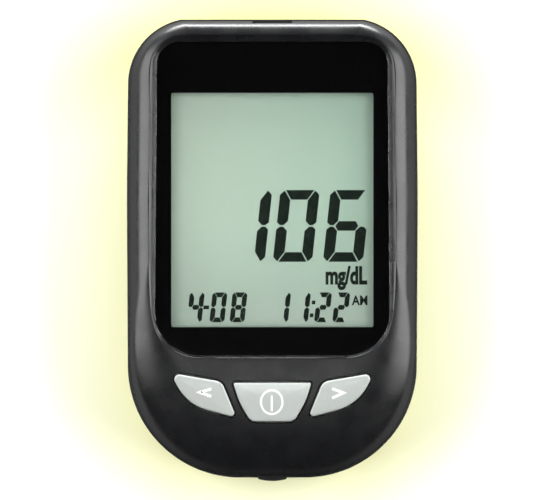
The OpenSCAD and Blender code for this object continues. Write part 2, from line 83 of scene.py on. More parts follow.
def corner_arc(p, a, b, r, n):
    """The corner p between its neighbours a and b as an arc of n steps."""
    p, a, b = (np.asarray(q, float) for q in (p, a, b))
    u, v = unit(a - p), unit(b - p)
    half = math.acos(float(np.clip(u @ v, -1, 1))) / 2
    c = p + unit(u + v) * r / math.sin(half)
    s = p + u * r / math.tan(half) - c
    e = p + v * r / math.tan(half) - c
    a0 = math.atan2(s[1], s[0])
    d = (math.atan2(e[1], e[0]) - a0 + math.pi) % (2 * math.pi) - math.pi
    return [c + r * np.array([math.cos(a0 + d * i / n), math.sin(a0 + d * i / n)]) for i in range(n + 1)]


def rounded(points, n=12, lines=None):
    """Closed anticlockwise outline. lines gives how many points go on the straight run after each corner."""
    k = len(points)
    arcs = [
        corner_arc(points[i][:2], points[i - 1][:2], points[(i + 1) % k][:2], points[i][2], points[i][3] if len(points[i]) > 3 else n)
        for i in range(k)
    ]
    out = []
    for i in range(k):
        out += arcs[i]
        m = lines[i] if lines else 0
        s, e = arcs[i][-1], arcs[(i + 1) % k][0]
        for j in range(m):
            t = (j + 1) / (m + 1)
            out.append(s + (e - s) * t)
    return np.array(out)


def grow(points, d):
    """The same corners moved outwards by d."""
    k, out = len(points), []
    for i in range(k):
        p, a, b = (np.asarray(points[j % k][:2], float) for j in (i, i - 1 + k, i + 1))
        u, v = unit(a - p), unit(b - p)
        half = math.acos(float(np.clip(u @ v, -1, 1))) / 2
        q = p - unit(u + v) * d / math.sin(half)
        out.append((q[0], q[1], max(0.05, points[i][2] + d), *points[i][3:]))
    return out


def box_corners(x, y0, y1, r):
    return [(x, y0, r), (x, y1, r), (-x, y1, r), (-x, y0, r)]


def body_corners(w, yt, yb, rt, rb, bx):
    ys = yt - (w - BULGE - bx) * math.tan(BREAK_A)
    return [
        (w - BULGE, yb, rb, 32), (w, 10, 900, 10), (w - BULGE, ys, rt, 24), (bx, yt, 0.8, 3),
        (-bx, yt, 0.8, 3), (-w + BULGE, ys, rt, 24), (-w, 10, 900, 10), (-w + BULGE, yb, rb, 32),
    ]


BODY_LINES = [6, 6, 1, 18, 1, 6, 6, 36]


def body_outline(inset):
    return rounded(
        grow(body_corners(HALF_W, HALF_L, -HALF_L, TOP_R, BOTTOM_R, BREAK_X), -inset), lines=BODY_LINES
    )


# ---------------------------------------------------------------- solids
def solid(verts, faces, name="tool"):
    me = bpy.data.meshes.new(name)
    me.from_pydata([tuple(map(float, v)) for v in verts], [], faces)
    ob = bpy.data.objects.new(name, me)
    scene.collection.objects.link(ob)
    return ob


def at(ring, z):
    """A flat ring lifted to z, which may be a number or one height per point."""
    ring = np.asarray(ring)[:, :2]
    return np.column_stack([ring, np.broadcast_to(np.asarray(z, float), len(ring))])


def loft(rings, name="tool", centre=None):
    """Closed skin over rings with the same number of points, lowest first. centre closes the top as a fan."""
    n, m = len(rings[0]), len(rings)
    verts = np.concatenate(rings)
    faces = [tuple(range(n - 1, -1, -1))]
    for i in range(m - 1):
        for j in range(n):
            k = (j + 1) % n
            faces.append((i * n + j, i * n + k, (i + 1) * n + k, (i + 1) * n + j))
    if centre is None:
        faces.append(tuple((m - 1) * n + j for j in range(n)))
    else:
        verts = np.vstack([verts, centre])
        faces += [((m - 1) * n + j, (m - 1) * n + (j + 1) % n, m * n) for j in range(n)]
    return solid(verts, faces, name)


def prism(points, z0, z1, n=12):
    ring = rounded(points, n) if len(points[0]) > 2 else np.asarray(points, float)
    return loft([at(ring, z0), at(ring, z1)])


def bar(x0, x1, y0, y1, z0, z1):
    return prism([(x0, y0), (x1, y0), (x1, y1), (x0, y1)], z0, z1)


def side(s, x0, x1, *rest):
    return bar(*((x0, x1) if s > 0 else (-x1, -x0)), *rest)


def disc(x, y, r, n=48):
    a = np.linspace(0, 2 * math.pi, n, endpoint=False)
    return np.column_stack([x + r * np.cos(a), y + r * np.sin(a)])


def rod(x, y, z0, z1, r, n=48):
    ring = disc(x, y, r, n)
    return loft([at(ring, z0), at(ring, z1)])


def turn(ob, axis, angle, centre=(0, 0, 0)):
    m = Matrix.Translation(centre) @ Matrix.Rotation(angle, 4, axis) @ Matrix.Translation([-c for c in centre])
    ob.data.transform(m)
    return ob


def combine(a, b, how):
    """Boolean of two closed solids; b goes away."""
    before = len(a.data.polygons)
    for solver in ("MANIFOLD", "EXACT"):
        mod = a.modifiers.new("shape", "BOOLEAN")
        mod.object, mod.operation, mod.solver = b, how, solver
        dg = bpy.context.evaluated_depsgraph_get()
        me = bpy.data.meshes.new_from_object(a.evaluated_get(dg))
        a.modifiers.clear()
        if len(me.polygons) > 0 and (how != "DIFFERENCE" or len(me.polygons) != before):
            break
    old, a.data = a.data, me
    bpy.data.meshes.remove(old)
    bpy.data.objects.remove(b)
    return a


def cut(a, *tools):
    for t in tools:
        combine(a, t, "DIFFERENCE")
    return a


def add(a, *tools):
    for t in tools:
        combine(a, t, "UNION")
    return a


def common(a, b):
    return combine(a, b, "INTERSECT")


def place(ob, name, material, body="meter", node=None, angle=32):
    """Ends a piece: real size and place, smooth shading with crisp edges, material and body."""
    ob.name = ob.data.name = name
    me = ob.data
    me.transform(Matrix.Scale(0.001, 4) @ Matrix.Translation((0, SHIFT, 0)))
    bm = bmesh.new()
    bm.from_mesh(me)
    bmesh.ops.remove_doubles(bm, verts=bm.verts, dist=2e-7)
    bmesh.ops.recalc_face_normals(bm, faces=bm.faces)
    bm.to_mesh(me)
    bm.free()
    me.shade_smooth()
    me.set_sharp_from_angle(angle=math.radians(angle))
    me.materials.clear()
    me.materials.append(material)
    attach(ob, body)
    if node:
        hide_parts(node)
    return ob


# ---------------------------------------------------------------- materials
def nodes_of(mat):
    mat.use_nodes = True
    t = mat.node_tree
    t.nodes.clear()
    out = t.nodes.new("ShaderNodeOutputMaterial")
    return t, out


def noise(t, scale, detail=3.0, rough=0.5, stretch=(1, 1, 1)):
    co = t.nodes.new("ShaderNodeTexCoord")
    mp = t.nodes.new("ShaderNodeMapping")
    mp.inputs["Scale"].default_value = stretch
    nz = t.nodes.new("ShaderNodeTexNoise")
    nz.inputs["Scale"].default_value = scale
    nz.inputs["Detail"].default_value = detail
    nz.inputs["Roughness"].default_value = rough
    t.links.new(co.outputs["Object"], mp.inputs["Vector"])
    t.links.new(mp.outputs["Vector"], nz.inputs["Vector"])
    return nz


def spread(t, value, low, high, start=0.3, end=0.7):
    r = t.nodes.new("ShaderNodeMapRange")
    r.inputs["From Min"].default_value, r.inputs["From Max"].default_value = start, end
    r.inputs["To Min"].default_value, r.inputs["To Max"].default_value = low, high
    t.links.new(value, r.inputs["Value"])
    return r.outputs["Result"]


def two_tone(t, value, a, b, start=0.3, end=0.7):
    ramp = t.nodes.new("ShaderNodeValToRGB")
    ramp.color_ramp.elements[0].position, ramp.color_ramp.elements[1].position = start, end
    ramp.color_ramp.elements[0].color = (*a, 1)
    ramp.color_ramp.elements[1].color = (*b, 1)
    t.links.new(value, ramp.inputs["Fac"])
    return ramp.outputs["Color"]


def material(name, color, rough=0.5, metal=0.0, spec=0.5, vary=0.06, patch=180, rough_vary=0.05,
             grain=None, grain_depth=0.0, stretch=(1, 1, 1), coat=0.0, coat_rough=0.1):
    """Moulded or plated surface: soft patches of colour and sheen, and a fine grain."""
    m = bpy.data.materials.new(name)
    t, out = nodes_of(m)
    p = t.nodes.new("ShaderNodeBsdfPrincipled")
    t.links.new(p.outputs["BSDF"], out.inputs["Surface"])
    p.inputs["Metallic"].default_value = metal
    p.inputs["Specular IOR Level"].default_value = spec
    p.inputs["Coat Weight"].default_value = coat
    p.inputs["Coat Roughness"].default_value = coat_rough
    big = noise(t, patch, 2.0)
    a = tuple(min(1, c * (1 - vary)) for c in color)
    b = tuple(min(1, c * (1 + vary)) for c in color)
    t.links.new(two_tone(t, big.outputs["Fac"], a, b), p.inputs["Base Color"])
    t.links.new(spread(t, big.outputs["Fac"], rough - rough_vary, rough + rough_vary), p.inputs["Roughness"])
    if grain:
        fine = noise(t, grain, 2.0, 0.6, stretch)
        bump = t.nodes.new("ShaderNodeBump")
        bump.inputs["Strength"].default_value = 1.0
        bump.inputs["Distance"].default_value = grain_depth
        t.links.new(fine.outputs["Fac"], bump.inputs["Height"])
        t.links.new(bump.outputs["Normal"], p.inputs["Normal"])
    return m


charcoal = material("charcoal_plastic", (0.0064, 0.0066, 0.0073), rough=0.28, spec=0.5, vary=0.05, grain=5200, grain_depth=0.0000012)
black_shell = material("black_plastic_shell", (0.008, 0.008, 0.009), rough=0.46, spec=0.3, vary=0.08, grain=4200, grain_depth=0.0000025)
black_part = material("black_plastic", (0.010, 0.010, 0.011), rough=0.5, vary=0.08, grain=4000, grain_depth=0.000002)
silver = material("silver_paint", (0.395, 0.420, 0.401), rough=0.42, metal=0.0, spec=0.5, vary=0.02, patch=900, grain=9000, grain_depth=0.0000008)
icon_white = material("icon_ink", (0.93, 0.94, 0.93), rough=0.45, vary=0.01, patch=900)
mask_ink = material("mask_ink", (0.0011, 0.0010, 0.0012), rough=0.8, spec=0.0, vary=0.1, patch=300)
foam = material("dark_foam", (0.03, 0.03, 0.03), rough=0.9, spec=0.2, vary=0.15, patch=900, grain=4000, grain_depth=0.00002)
rubber = material("soft_rubber", (0.010, 0.010, 0.010), rough=0.7, spec=0.35, vary=0.12, patch=500, grain=3000, grain_depth=0.000004)
white_plastic = material("white_plastic", (0.72, 0.72, 0.69), rough=0.45, vary=0.03, patch=400, grain=4000, grain_depth=0.000002)
diffuser = material("diffuser_plastic", (0.80, 0.83, 0.78), rough=0.35, vary=0.03, patch=300)
zebra = material("zebra_rubber", (0.55, 0.30, 0.34), rough=0.6, vary=0.25, patch=4000, rough_vary=0.08)
laminate = material("board_laminate", (0.02, 0.14, 0.05), rough=0.35, vary=0.25, patch=700, grain=2600, grain_depth=0.000004, stretch=(1, 6, 1))
steel = material("plated_steel", (0.62, 0.62, 0.60), rough=0.28, metal=1.0, vary=0.06, patch=600, grain=6000, grain_depth=0.000001, stretch=(1, 12, 1))
screw_steel = material("screw_steel", (0.36, 0.36, 0.37), rough=0.34, metal=1.0, vary=0.1, patch=900, grain=7000, grain_depth=0.000002)
magnet = material("magnet_steel", (0.28, 0.28, 0.29), rough=0.4, metal=1.0, vary=0.08, patch=500)
brass = material("contact_gold", (0.85, 0.62, 0.28), rough=0.25, metal=1.0, vary=0.05, patch=900)
ceramic = material("ceramic_tan", (0.36, 0.24, 0.13), rough=0.55, vary=0.25, patch=400)
film = material("cone_film", (0.10, 0.085, 0.07), rough=0.45, vary=0.15, patch=600, grain=2500, grain_depth=0.00001)
cloth = material("mesh_cloth", (0.02, 0.02, 0.02), rough=0.9, spec=0.2, vary=0.3, patch=6000, grain=7000, grain_depth=0.00003)
jacket = material("lead_jacket", (0.45, 0.02, 0.015), rough=0.4, vary=0.08, patch=600)


def cell_material():
    """Cell jacket: a copper end band and a dark wrap, split along the cell's length."""
    m = bpy.data.materials.new("cell_jacket")
    t, out = nodes_of(m)
    p = t.nodes.new("ShaderNodeBsdfPrincipled")
    t.links.new(p.outputs["BSDF"], out.inputs["Surface"])
    co = t.nodes.new("ShaderNodeTexCoord")
    xyz = t.nodes.new("ShaderNodeSeparateXYZ")
    t.links.new(co.outputs["Object"], xyz.inputs["Vector"])
    y = xyz.outputs["Y"]
    ramp = t.nodes.new("ShaderNodeValToRGB")
    ramp.color_ramp.interpolation = "CONSTANT"
    wear = noise(t, 350, 3.0)
    grow_y = t.nodes.new("ShaderNodeMapRange")
    grow_y.inputs["From Min"].default_value, grow_y.inputs["From Max"].default_value = -0.039, 0.010
    t.links.new(y, grow_y.inputs["Value"])
    t.links.new(grow_y.outputs["Result"], ramp.inputs["Fac"])
    e = ramp.color_ramp.elements
    e[0].position, e[0].color = 0.0, (0.45, 0.45, 0.44, 1)
    e[1].position, e[1].color = 0.10, (0.02, 0.02, 0.022, 1)
    for pos, col in ((0.66, (0.55, 0.26, 0.09, 1)), (0.88, (0.45, 0.45, 0.44, 1))):
        k = e.new(pos)
        k.color = col
    t.links.new(ramp.outputs["Color"], p.inputs["Base Color"])
    t.links.new(spread(t, wear.outputs["Fac"], 0.25, 0.38), p.inputs["Roughness"])
    p.inputs["Metallic"].default_value = 0.6
    return m


cell_skin = cell_material()


def lcd_material():
    """Reflective panel: grey-green with a very fine mottle. Its lighter, warmer upper left and its darker right side
    and lower part are painted light and shade.
    """
    m = bpy.data.materials.new("lcd_panel")
    t, out = nodes_of(m)
    p = t.nodes.new("ShaderNodeBsdfPrincipled")
    t.links.new(p.outputs["BSDF"], out.inputs["Surface"])
    co = t.nodes.new("ShaderNodeTexCoord")
    xyz = t.nodes.new("ShaderNodeSeparateXYZ")
    t.links.new(co.outputs["Object"], xyz.inputs["Vector"])
    # painted light and shade: lighter and warmer to the left, darker to the right
    right = t.nodes.new("ShaderNodeMapRange")
    right.interpolation_type = "SMOOTHSTEP"
    right.inputs["From Min"].default_value, right.inputs["From Max"].default_value = -0.020, 0.021
    t.links.new(xyz.outputs["X"], right.inputs["Value"])
    painted_shading_across = two_tone(t, right.outputs["Result"], (0.218, 0.269, 0.224), (0.188, 0.257, 0.211), 0.0, 1.0)
    # painted shade: the panel darkens towards its lower edge
    down = t.nodes.new("ShaderNodeMapRange")
    down.interpolation_type = "SMOOTHSTEP"
    down.inputs["From Min"].default_value, down.inputs["From Max"].default_value = 0.008, -0.014
    t.links.new(xyz.outputs["Y"], down.inputs["Value"])
    low = t.nodes.new("ShaderNodeMix")
    low.data_type = "RGBA"
    t.links.new(down.outputs["Result"], low.inputs["Factor"])
    t.links.new(painted_shading_across, low.inputs["A"])
    low.inputs["B"].default_value = (0.176, 0.219, 0.186, 1)
    mottle = noise(t, 700, 4.0, 0.6)
    tint = t.nodes.new("ShaderNodeMix")
    tint.data_type, tint.blend_type = "RGBA", "MULTIPLY"
    tint.inputs["Factor"].default_value = 1.0
    t.links.new(low.outputs["Result"], tint.inputs["A"])
    t.links.new(two_tone(t, mottle.outputs["Fac"], (0.96, 0.97, 0.95), (1.0, 1.0, 1.0)), tint.inputs["B"])
    t.links.new(tint.outputs["Result"], p.inputs["Base Color"])
    t.links.new(spread(t, mottle.outputs["Fac"], 0.42, 0.52), p.inputs["Roughness"])
    p.inputs["Specular IOR Level"].default_value = 0.25
    return m


lcd_panel = lcd_material()
segment_ink = material("segment_ink", (0.006, 0.009, 0.007), rough=0.6, spec=0.0, vary=0.2, patch=600)


def glass_material(name, tint, rough):
    """Clear moulding: glass for sight, open for the light that falls through it."""
    m = bpy.data.materials.new(name)
    t, out = nodes_of(m)
    p = t.nodes.new("ShaderNodeBsdfPrincipled")
    p.inputs["Base Color"].default_value = (*tint, 1)
    p.inputs["Roughness"].default_value = rough
    p.inputs["IOR"].default_value = 1.49
    p.inputs["Transmission Weight"].default_value = 1.0
    clear = t.nodes.new("ShaderNodeBsdfTransparent")
    clear.inputs["Color"].default_value = (0.93, 0.94, 0.93, 1)
    path = t.nodes.new("ShaderNodeLightPath")
    mix = t.nodes.new("ShaderNodeMixShader")
    t.links.new(path.outputs["Is Shadow Ray"], mix.inputs["Fac"])
    t.links.new(p.outputs["BSDF"], mix.inputs[1])
    t.links.new(clear.outputs["BSDF"], mix.inputs[2])
    t.links.new(mix.outputs["Shader"], out.inputs["Surface"])
    return m


lens_glass = glass_material("clear_lens", (0.985, 0.99, 0.985), 0.02)


# ---------------------------------------------------------------- front cover
def roll(z, s, top):
    """How far the rolled edge has drawn in at height z."""
    r = EDGE_R - s / 2
    zc = top - r * math.sin(EDGE_A)
    return 0.0 if z <= zc else r * (1 - math.cos(math.asin(min(1.0, (z - zc) / r))))


def front_ring(z, s=0.0, extra=0.0):
    top = TOP - s
    e = roll(z, s, top) + extra
    u = min(1.0, max(0.0, (z - SEAM) / (top - SEAM)))
    yb = CHIN_Y - (HALF_L - STEP - s + CHIN_Y) * (1 - u**CHIN_N) ** (1 / CHIN_N) + extra
    return rounded(
        body_corners(HALF_W - STEP - s - e, HALF_L - STEP - s - 2.98 * (e / 4.45) ** 2.5 * (2.5 - 0.337 * e), yb, TOP_R - 0.4 - s - e,
                     8 + (BOTTOM_R - 8.4 - s) * (1 - u**8), BREAK_X - 0.5 * (e + s)),
        lines=BODY_LINES,
    )


def front_loft(s, z_low, steps=60, soft=0.0):
    rings = []
    if soft:
        rings += [at(front_ring(z_low, s, soft), z_low), at(front_ring(z_low, s, soft * 0.3), z_low + soft * 0.3)]
        start = z_low + soft
    else:
        start = z_low
    top = TOP - s
    heights = [start] + [
        SEAM + (top - SEAM) * math.sin(math.radians(90 * i / steps)) ** (2 / CHIN_N) for i in range(1, steps + 1)
    ]
    heights = [h for i, h in enumerate(heights) if i == 0 or h > start + 0.02]
    rings += [at(front_ring(h, s), h) for h in heights]
    return loft(rings)


def outline_distance(points, ring):
    """Signed distance of points to a closed anticlockwise outline (outside is positive) and the outward direction."""
    a, b = ring, np.roll(ring, -1, 0)
    ab = b - a
    length = np.linalg.norm(ab, axis=1)
    keep = length > 1e-9
    a, ab, length = a[keep], ab[keep], length[keep]
    n = np.column_stack([ab[:, 1], -ab[:, 0]]) / length[:, None]
    rel = points[:, None, :] - a[None]
    t = np.clip((rel * ab[None]).sum(2) / (length**2)[None], 0, 1)
    off = rel - t[..., None] * ab[None]
    dist = np.linalg.norm(off, axis=2)
    i = dist.argmin(1)
    k = np.arange(len(points))
    sign = np.sign((off[k, i] * n[i]).sum(1))
    near = dist[k, i]
    out = np.where(near[:, None] > 1e-6, off[k, i] * sign[:, None] / np.maximum(near, 1e-9)[:, None], n[i])
    return near * sign, out


LENS_RING = rounded(LENS, 48, [80, 40, 80, 40])
POCKET = 0.07


def bezel_z(d, n):
    """Height of the slope round the lens, d outside its edge, where n points away from it. It steepens inwards."""
    up = np.clip(n[:, 1], 0, 1) ** 2
    low = np.clip(-n[:, 1], 0, 1) ** 2
    corner = 1 - np.abs(2 * np.clip(-n[:, 1], 0, 1) - 1)
    width = 1.2 + 0.47 * up - 0.88 * low + 1.1 * corner
    rise = 1.28 + 0.18 * up
    s = d / width
    return LENS_Z + rise * np.where(s < 1, 1.34 * s - 0.34 * s * s, 1 + 1.1 * (s - 1))


def build_front():
    """Outside of the cover as one grid: up the wall and over the roll, round the rim, down the slope to the lens."""
    phi = np.linspace(0, math.pi / 2, 361)
    zs = SEAM + (TOP - SEAM) * np.sin(phi) ** (2 / CHIN_N)
    table = np.array([at(front_ring(z), z) for z in zs])
    m, n = table.shape[:2]
    flat = table.reshape(-1, 3)
    high = flat[:, 2] > 23.6
    g = np.full(len(flat), -1.0)
    d, out = outline_distance(flat[high][:, :2], LENS_RING)
    g[high] = flat[high][:, 2] - bezel_z(d, out)
    g = g.reshape(m, n)
    steps = np.linalg.norm(np.diff(table, axis=0), axis=2)
    length = np.vstack([np.zeros(n), np.cumsum(steps, 0)])
    rim = np.empty(n)
    for j in range(n):
        i = int(np.argmax(g[:, j] > 0))
        f = -g[i - 1, j] / (g[i, j] - g[i - 1, j])
        rim[j] = phi[i - 1] + f * (phi[i] - phi[i - 1])
    # even out the last traces of the table's steps
    for _ in range(6):
        rim = (np.roll(rim, 1) + 2 * rim + np.roll(rim, -1)) / 4

    def along(angle):
        pos = angle / phi[1]
        i = np.clip(pos.astype(int), 0, m - 2)
        f = (pos - i)[:, None]
        j = np.arange(n)
        return table[i, j] * (1 - f) + table[i + 1, j] * f

    def back(dist):
        res = np.empty(n)
        for j in range(n):
            total = np.interp(rim[j], phi, length[:, j])
            res[j] = np.interp(total - dist, length[:, j], phi)
        return res

    R = along(rim)
    start = back(0.26)
    rows = [at(front_ring(SEAM, 0, 0.12), SEAM), at(front_ring(SEAM, 0, 0.036), SEAM + 0.036), at(front_ring(SEAM + 0.12), SEAM + 0.12)]
    first = math.asin((0.12 / (TOP - SEAM)) ** (CHIN_N / 2))
    for s in np.linspace(0, 1, 60)[1:]:
        rows.append(along(first + (start - first) * s))
    d_rim, out = outline_distance(R[:, :2], LENS_RING)
    foot = R[:, :2] - out * d_rim[:, None]

    def facet(dist):
        p = foot + out * dist[:, None]
        return np.column_stack([p, bezel_z(dist, out)])

    reach = np.minimum(0.22, 0.45 * (d_rim - POCKET))
    A, B = rows[-1], facet(d_rim - reach)
    for t in (0.15, 0.3, 0.45, 0.6, 0.75, 0.88, 1.0):
        rows.append((1 - t) ** 2 * A + 2 * t * (1 - t) * R + t * t * B)
    for s in (0.12, 0.25, 0.38, 0.5, 0.6, 0.7, 0.8, 0.9, 1.0):
        rows.append(facet((d_rim - reach) * (1 - s) + POCKET * s))
    rows.append(np.column_stack([rows[-1][:, :2], np.full(n, LENS_Z - LENS_T - 0.2)]))
    return rows


front_rows = build_front()
front = loft(front_rows)
# faint raised line down the middle of the chin
for v in front.data.vertices:
    x, y, z = v.co
    if z > 17 and -44.6 < y < -35.4 and abs(x) < 3:
        ends = min(1.0, (y + 44.6) / 1.6, (-35.4 - y) / 0.8)
        v.co.z += 0.13 * math.exp(-((x / 0.75) ** 2)) * ends * ends * (3 - 2 * ends)
skin = BVHTree.FromPolygons(
    [v.co.copy() for v in front.data.vertices], [tuple(p.vertices) for p in front.data.polygons]
)


def skin_z(ring):
    """Height of the cover's outside over each point."""
    out = []
    for p in np.asarray(ring):
        hit = skin.ray_cast(Vector((p[0], p[1], 40)), Vector((0, 0, -1)))[0]
        out.append(hit.z)
    return np.array(out)


cut(front, front_loft(1.8, SEAM - 1, steps=40))
add(front, cut(prism(grow(LENS, 0.9), 21.9, LENS_Z - 0.6), prism(grow(LENS, POCKET + 0.02), LENS_Z - LENS_T - 0.2, 26, 20)))
tongue = prism([tuple(p) for p in body_outline(1.35)], SEAM - 1.4, SEAM + 0.6)
cut(tongue, prism([tuple(p) for p in body_outline(2.15)], SEAM - 1.5, SEAM + 0.7))
add(front, tongue)
for x, y, h in CASE_SCREWS:
    add(front, rod(x, y, SEAM, h, 2.9))
for x, y in BOARD_SCREWS:
    add(front, rod(x, y, BOARD_TOP, 22.6, 1.9))
cut(front, prism(box_corners(VIEW_X + 0.9, VIEW_BOTTOM - 0.9, VIEW_TOP + 0.9, 0.6), 20, 27))
for keys in (LEFT_KEY, RIGHT_KEY, POWER_KEY):
    base = rounded(grow(keys, KEY_GAP))
    wide = rounded(grow(keys, KEY_GAP + 0.16))
    wider = rounded(grow(keys, KEY_GAP + 1.2))
    cut(front, loft([at(base, 18), at(base, skin_z(base) - 0.18), at(wide, skin_z(wide)), at(wider, skin_z(wide) + 1.2)]))
cut(front, bar(-4.15, 4.15, HALF_L - 0.95, HALF_L + 1, SEAM - 2, 27))
cut(front, bar(-4.15, 4.15, HALF_L - 3.6, HALF_L, SEAM - 2, 22.7))
for x, y, h in CASE_SCREWS:
    cut(front, rod(x, y, SEAM - 1, h - 0.8, 1.0, 24))
for x, y in BOARD_SCREWS:
    cut(front, rod(x, y, BOARD_TOP - 1, 20.6, 0.8, 24))
place(front, "front_shell", charcoal, node="front_cover", angle=27)


# ---------------------------------------------------------------- rear cover
def rear_ring(s, e):
    return rounded(
        body_corners(HALF_W - s - e, HALF_L - s - e, -HALF_L + s + e, TOP_R - s - e, BOTTOM_R - s - e,
                     BREAK_X - 0.5 * (e + s)),
        lines=BODY_LINES,
    )


def rear_loft(s, z_high, steps=22, soft=0.0):
    depth, h = 6.0, 11.5 - s
    rings = []
    for i in range(steps + 1):
        t = math.radians(90 * (1 - i / steps))
        rings.append(at(rear_ring(s, depth * (1 - math.cos(t) ** 0.9)), s + h * (1 - math.sin(t) ** 0.9)))
    if soft:
        rings += [at(rear_ring(s, 0), z_high - soft), at(rear_ring(s, soft * 0.3), z_high - soft * 0.3), at(rear_ring(s, soft), z_high)]
    else:
        rings.append(at(rear_ring(s, 0), z_high))
    return loft(rings)


rear = rear_loft(0.0, SEAM, soft=0.08)
cut(rear, rear_loft(2.0, SEAM + 1))
add(rear, bar(-BAY_X - 3.2, BAY_X + 3.2, BAY_Y0 - 1.5, BAY_Y1 + 1.2, 0.5, BAY_Z1 + 1.1))
add(rear, rod(0, SPEAKER_Y, 1, 6.2, SPEAKER_R + 1.3, 96))
posts = rod(*CASE_SCREWS[0][:2], 0, SEAM - 0.05, 3.6)
for x, y, h in CASE_SCREWS[1:]:
    add(posts, rod(x, y, 0, SEAM - 0.05, 3.6))
add(posts, bar(-BAY_X - 3.2, BAY_X + 3.2, -HALF_L, BAY_Y0, 0.5, 3.6))
add(rear, common(posts, rear_loft(0.3, SEAM + 0.1)))
cut(rear, prism([tuple(p) for p in body_outline(1.25)], SEAM - 1.5, SEAM + 1))
cut(rear, prism(box_corners(DOOR_W / 2, -HALF_L - 5, DOOR_Y1, 2.2), -1, DOOR_Z + DOOR_T + 0.05))
cut(rear, bar(-BAY_X, BAY_X, BAY_Y0, 10.4, -1, BAY_Z1))
cut(rear, bar(-BAY_X, BAY_X, 10.3, BAY_Y1, DOOR_Z + DOOR_T, BAY_Z1 - 0.8))
for s in (-1, 1):
    for y in HOOK_AT:
        cut(
            rear,
            side(s, BAY_X - 0.1, 13.5, y - 2.7 - DOOR_TRAVEL, y + 2.7 - DOOR_TRAVEL, 1, 3.7),
            side(s, BAY_X - 0.1, 12.75, y - 2.7 - DOOR_TRAVEL, y + 2.7, 1, 3.7),
            side(s, BAY_X - 0.1, 13.5, y - 2.7 - DOOR_TRAVEL, y + 2.7, 2.7, 3.7),
        )
cut(rear, rod(0, SPEAKER_Y, 2.0, 7, SPEAKER_R + 0.15, 96))
for i in range(-3, 4):
    reach = math.sqrt(9.6**2 - (i * 2.6) ** 2) - 0.6
    slot = [(reach + 0.6, SPEAKER_Y + i * 2.6 - 0.6, 0.59), (reach + 0.6, SPEAKER_Y + i * 2.6 + 0.6, 0.59),
            (-reach - 0.6, SPEAKER_Y + i * 2.6 + 0.6, 0.59), (-reach - 0.6, SPEAKER_Y + i * 2.6 - 0.6, 0.59)]
    flare = [at(rounded(grow(slot, 0.5), 10), -0.5), at(rounded(grow(slot, 0.2), 10), -0.001), at(rounded(slot, 10), 0.25), at(rounded(slot, 10), 3)]
    cut(rear, loft(flare))
for x, y, h in CASE_SCREWS:
    cut(rear, loft([at(disc(x, y, 2.9), -0.6), at(disc(x, y, 2.4), 0.2), at(disc(x, y, 2.4), 7.5)]))
    cut(rear, rod(x, y, 7, SEAM + 1, 1.25, 32))
cut(rear, bar(-4.9, 4.9, -HALF_L - 1, -HALF_L + 1.2, 10.5, 15.35))
cut(rear, bar(-4.1, 4.1, -HALF_L - 1, -HALF_L + 4, 11.3, 14.8))
for s in (-1, 1):
    cut(rear, bar(s * CELL_X - 4.4, s * CELL_X + 4.4, BAY_Y0 - 0.3, BAY_Y0 + 0.5, 3, BAY_Z1))
add(rear, cut(bar(-BAY_X - 0.3, BAY_X + 0.3, 10.35, 11.4, 5.6, BAY_Z1 + 0.3), bar(-1.2, 1.2, 10, 12, 5, 8)))
place(rear, "rear_shell", black_shell, node="rear_cover")

# ---------------------------------------------------------------- battery door
door = common(
    rear_loft(DOOR_Z, 4, steps=30),
    prism(box_corners(DOOR_W / 2 - DOOR_GAP, -HALF_L - 5, DOOR_Y1 - DOOR_GAP, 2), 0, DOOR_Z + DOOR_T),
)
for s in (-1, 1):
    add(
        door,
        side(s, 9.1, 11.1, DOOR_Y1 - 2.2, DOOR_Y1 - 0.9, DOOR_Z + 1, DOOR_Z + DOOR_T + 1),
        side(s, 9.1, 11.1, DOOR_Y1 - 2.2, DOOR_Y1 + 1.1, DOOR_Z + DOOR_T + 0.15, DOOR_Z + DOOR_T + 1.05),
    )
    for y in HOOK_AT:
        add(
            door,
            side(s, 11.7, 12.6, y - 2.5, y + 2.5, DOOR_Z + 1, 3.5),
            side(s, 11.7, 13.35, y - 2.5, y + 2.5, 2.8, 3.5),
        )
for i in range(6):
    groove = turn(rod(0, 0, -6, 6, 0.4, 24), "Y", math.pi / 2)
    groove.data.transform(Matrix.Translation((0, DOOR_Y0 + 1 + i * 1.5, DOOR_Z - 0.1)))
    cut(door, groove)
place(door, "battery_door_panel", black_shell, "battery_door_body", "battery_door")

# ---------------------------------------------------------------- lens
# the rings at -0.5 and -0.8 keep the shading of the large faces flat
lens_rings = [(-0.8, LENS_Z - LENS_T), (-0.5, LENS_Z - LENS_T), (-0.12, LENS_Z - LENS_T), (0.0, LENS_Z - LENS_T + 0.12), (0.0, LENS_Z - 0.22), (-0.03, LENS_Z - 0.11), (-0.10, LENS_Z - 0.03), (-0.22, LENS_Z), (-0.5, LENS_Z), (-0.8, LENS_Z)]
place(
    loft([at(rounded(grow(LENS, d), 24), z) for d, z in lens_rings]),
    "lens", lens_glass, node="display_lens",
)


# ---------------------------------------------------------------- keys
def chin_z(y):
    return SEAM + (TOP - SEAM) * (1 - ((CHIN_Y - y) / (HALF_L - STEP + CHIN_Y)) ** CHIN_N) ** (1 / CHIN_N)


KEY_SLOPE = (chin_z(-28) - chin_z(-36)) / 8


def key_top(y, drop):
    return chin_z(-28) + KEY_PROUD - drop + KEY_SLOPE * (y + 28)


